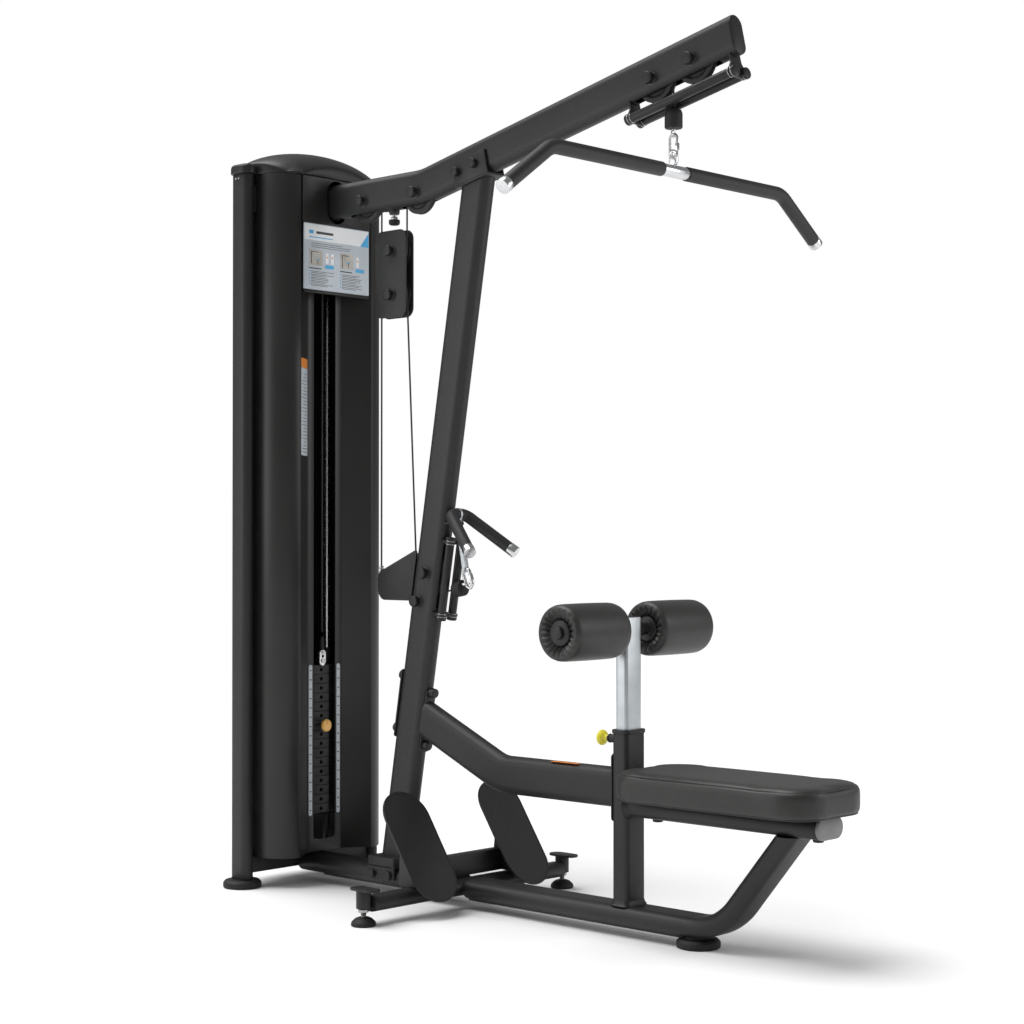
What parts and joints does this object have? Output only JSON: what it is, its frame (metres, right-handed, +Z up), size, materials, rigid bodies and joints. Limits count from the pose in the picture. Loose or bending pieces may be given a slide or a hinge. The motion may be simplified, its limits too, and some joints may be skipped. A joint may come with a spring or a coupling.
{
  "type": "lat pulldown machine",
  "caption": "Free-standing lat pulldown and low row machine with a pin-loaded weight tower, cable boom, wide bar, roller thigh pads and a padded seat.",
  "frame": {"origin": "centre of the machine's box in plan, on the floor", "axes": "+Z up, +X from the weight tower towards the seat, +Y across the machine, along the lat bar"},
  "size_m": [1.962, 1.2284, 2.2203],
  "materials": {
    "frame_paint": "fine-textured satin black powder coat",
    "shroud_panel": "smooth satin black moulded and sheet panels",
    "printed_card": null,
    "weight_plate": "dark grey satin coated steel plates",
    "chrome": "polished chrome plate",
    "rubber": "matt black rubber",
    "grip_rubber": "black rubber grip sleeve with a soft sheen",
    "vinyl": "black grained upholstery vinyl, stitched",
    "nylon": "black moulded nylon",
    "aluminium": "satin anodised aluminium",
    "cable_jacket": "black nylon-coated wire rope",
    "amber_plastic": "orange-yellow moulded knob",
    "yellow_plastic": "bright yellow moulded knob"
  },
  "bodies": {
    "machine_frame": {"tower_base_and_rear_rail": "frame_paint", "tower_tube_left": "frame_paint", "tower_tube_right": "frame_paint", "tower_top_beam": "frame_paint", "boom": "frame_paint", "main_upright": "frame_paint", "boom_saddle": "frame_paint", "row_gusset_and_anchor": "frame_paint", "front_cross_member": "frame_paint", "front_rail_and_foot": "frame_paint", "foot_plate_left": "frame_paint", "foot_plate_right": "frame_paint", "foot_rest_support": "frame_paint", "seat_beam": "frame_paint", "seat_post": "frame_paint", "seat_tube": "frame_paint", "window_panel": "shroud_panel", "front_shroud_left": "shroud_panel", "front_shroud_right": "shroud_panel", "rear_shroud": "shroud_panel", "tower_head_panel": "shroud_panel", "tower_cap": "shroud_panel", "instruction_placard": "printed_card", "resting_plates": "weight_plate", "guide_rod_left": "chrome", "guide_rod_right": "chrome", "stack_bumper": "rubber", "levelling_foot_left": "rubber", "levelling_foot_right": "rubber", "seat_cushion": "vinyl", "lat_cable": "cable_jacket", "row_cable": "cable_jacket"},
    "weight_stack": {"lifted_plates": "weight_plate", "stack_head_and_stem": "chrome"},
    "selector": {"selector_pin": "amber_plastic"},
    "lat_end": {"lat_ball_stop": "rubber"},
    "lat_bar_assembly": {"lat_bar": "chrome", "lat_grip_left": "grip_rubber", "lat_grip_right": "grip_rubber"},
    "block": {"floating_block": "frame_paint"},
    "block_wheel_upper": {"block_pulley_upper": "nylon"},
    "block_wheel_lower": {"block_pulley_lower": "nylon"},
    "row_end": {"row_ball_stop": "rubber"},
    "row_handle_assembly": {"row_handle": "grip_rubber"},
    "tower_wheel": {"tower_pulley": "nylon"},
    "rear_wheel": {"boom_pulley_rear": "nylon"},
    "middle_wheel": {"boom_pulley_middle": "nylon"},
    "end_wheel": {"boom_pulley_end": "nylon"},
    "nose_wheel": {"boom_pulley_nose": "nylon"},
    "row_wheel": {"row_pulley": "nylon"},
    "thigh_post": {"thigh_post_and_axle": "aluminium"},
    "pad_left": {"thigh_pad_left": "vinyl"},
    "pad_right": {"thigh_pad_right": "vinyl"},
    "seat_pin": {"pop_pin": "yellow_plastic"},
    "boom_roller_l": {"boom_roller_left": "nylon"},
    "boom_roller_r": {"boom_roller_right": "nylon"},
    "row_roller_l": {"row_roller_left": "nylon"},
    "row_roller_r": {"row_roller_right": "nylon"}
  },
  "joints": [
    {"name": "stack_lift", "type": "slide", "parent": "machine_frame", "child": "weight_stack", "axis": [0, 0, 1], "range_m": [0, 0.75], "deforming": ["lat_cable"]},
    {"name": "selector_pull", "type": "slide", "parent": "weight_stack", "child": "selector", "axis": [1, 0, 0], "range_m": [0, 0.06]},
    {"name": "lat_bar_pull", "type": "slide", "parent": "machine_frame", "child": "lat_end", "axis": [0, 0, -1], "range_m": [-0.005, 0.755]},
    {"name": "lat_bar_swivel", "type": "hinge", "parent": "lat_end", "child": "lat_bar_assembly", "pos_m": [0.495, 0, 1.8715], "axis": [0, 0, 1], "range_deg": [-35, 35]},
    {"name": "tower_pulley_spin", "type": "hinge", "parent": "machine_frame", "child": "tower_wheel", "pos_m": [-0.755, 0, 1.934], "axis": [0, 1, 0], "range_deg": [-5, 981.6]},
    {"name": "rear_pulley_spin", "type": "hinge", "parent": "machine_frame", "child": "rear_wheel", "pos_m": [-0.6013, 0, 1.924], "axis": [0, 1, 0], "range_deg": [-5, 800.8]},
    {"name": "middle_pulley_spin", "type": "hinge", "parent": "machine_frame", "child": "middle_wheel", "pos_m": [-0.3909, 0, 1.924], "axis": [0, 1, 0], "range_deg": [-5, 800.8]},
    {"name": "end_pulley_spin", "type": "hinge", "parent": "machine_frame", "child": "end_wheel", "pos_m": [0.443, 0, 2.103], "axis": [0, 1, 0], "range_deg": [-5, 831.4]},
    {"name": "nose_pulley_spin", "type": "hinge", "parent": "machine_frame", "child": "nose_wheel", "pos_m": [0.566, 0, 2.13], "axis": [0, 1, 0], "continuous": true},
    {"name": "upper_block_pulley_spin", "type": "hinge", "parent": "block", "child": "block_wheel_upper", "pos_m": [-0.4961, 0, 1.775], "axis": [0, 1, 0], "range_deg": [-844.3, 5]},
    {"name": "block_drop", "type": "slide", "parent": "machine_frame", "child": "block", "axis": [0, 0, -1], "range_m": [0, 0.22], "stiffness_N_per_m": 150, "springref_m": -0.4, "deforming": ["row_cable"]},
    {"name": "lower_block_pulley_spin", "type": "hinge", "parent": "block", "child": "block_wheel_lower", "pos_m": [-0.4961, 0, 1.653], "axis": [0, 1, 0], "range_deg": [-5, 251.2]},
    {"name": "row_pull", "type": "slide", "parent": "machine_frame", "child": "row_end", "axis": [0.9848, 0, 0.1736], "range_m": [-0.005, 0.445]},
    {"name": "row_handle_tilt", "type": "hinge", "parent": "row_end", "child": "row_handle_assembly", "pos_m": [-0.2152, 0, 0.8568], "axis": [0, 1, 0], "range_deg": [0, 20]},
    {"name": "row_pulley_spin", "type": "hinge", "parent": "machine_frame", "child": "row_wheel", "pos_m": [-0.348, 0, 0.884], "axis": [0, 1, 0], "range_deg": [-439.7, 5]},
    {"name": "thigh_pad_height", "type": "slide", "parent": "machine_frame", "child": "thigh_post", "axis": [0, 0, 1], "range_m": [-0.1, 0.05]},
    {"name": "thigh_pad_roll_left", "type": "hinge", "parent": "thigh_post", "child": "pad_left", "pos_m": [0.351, -0.165, 0.7535], "axis": [0, 1, 0], "continuous": true},
    {"name": "thigh_pad_roll_right", "type": "hinge", "parent": "thigh_post", "child": "pad_right", "pos_m": [0.351, 0.165, 0.7535], "axis": [0, 1, 0], "continuous": true},
    {"name": "pop_pin_pull", "type": "slide", "parent": "machine_frame", "child": "seat_pin", "axis": [-1, 0, 0], "range_m": [0, 0.012], "stiffness_N_per_m": 500, "springref_m": -0.01},
    {"name": "boom_roller_spin_left", "type": "hinge", "parent": "machine_frame", "child": "boom_roller_l", "pos_m": [0.385, -0.022, 2.015], "axis": [0.9777, 0, 0.21], "continuous": true},
    {"name": "row_roller_spin_left", "type": "hinge", "parent": "machine_frame", "child": "row_roller_l", "pos_m": [-0.28761, -0.02, 0.77699], "axis": [0.1689, 0, 0.9856], "continuous": true},
    {"name": "boom_roller_spin_right", "type": "hinge", "parent": "machine_frame", "child": "boom_roller_r", "pos_m": [0.385, 0.022, 2.015], "axis": [0.9777, 0, 0.21], "continuous": true},
    {"name": "row_roller_spin_right", "type": "hinge", "parent": "machine_frame", "child": "row_roller_r", "pos_m": [-0.28761, 0.02, 0.77699], "axis": [0.1689, 0, 0.9856], "continuous": true}
  ],
  "couplings": [
    {"joint": "lat_bar_pull", "follows": "stack_lift", "ratio": 1},
    {"joint": "tower_pulley_spin", "follows": "stack_lift", "rad_per_m": 22.727},
    {"joint": "rear_pulley_spin", "follows": "stack_lift", "rad_per_m": 18.519},
    {"joint": "middle_pulley_spin", "follows": "stack_lift", "rad_per_m": 18.519},
    {"joint": "end_pulley_spin", "follows": "stack_lift", "rad_per_m": 19.231},
    {"joint": "upper_block_pulley_spin", "follows": "stack_lift", "rad_per_m": -19.531},
    {"joint": "row_pull", "follows": "block_drop", "ratio": 2},
    {"joint": "lower_block_pulley_spin", "follows": "block_drop", "rad_per_m": 19.531},
    {"joint": "row_pulley_spin", "follows": "block_drop", "rad_per_m": -34.483}
  ]
}
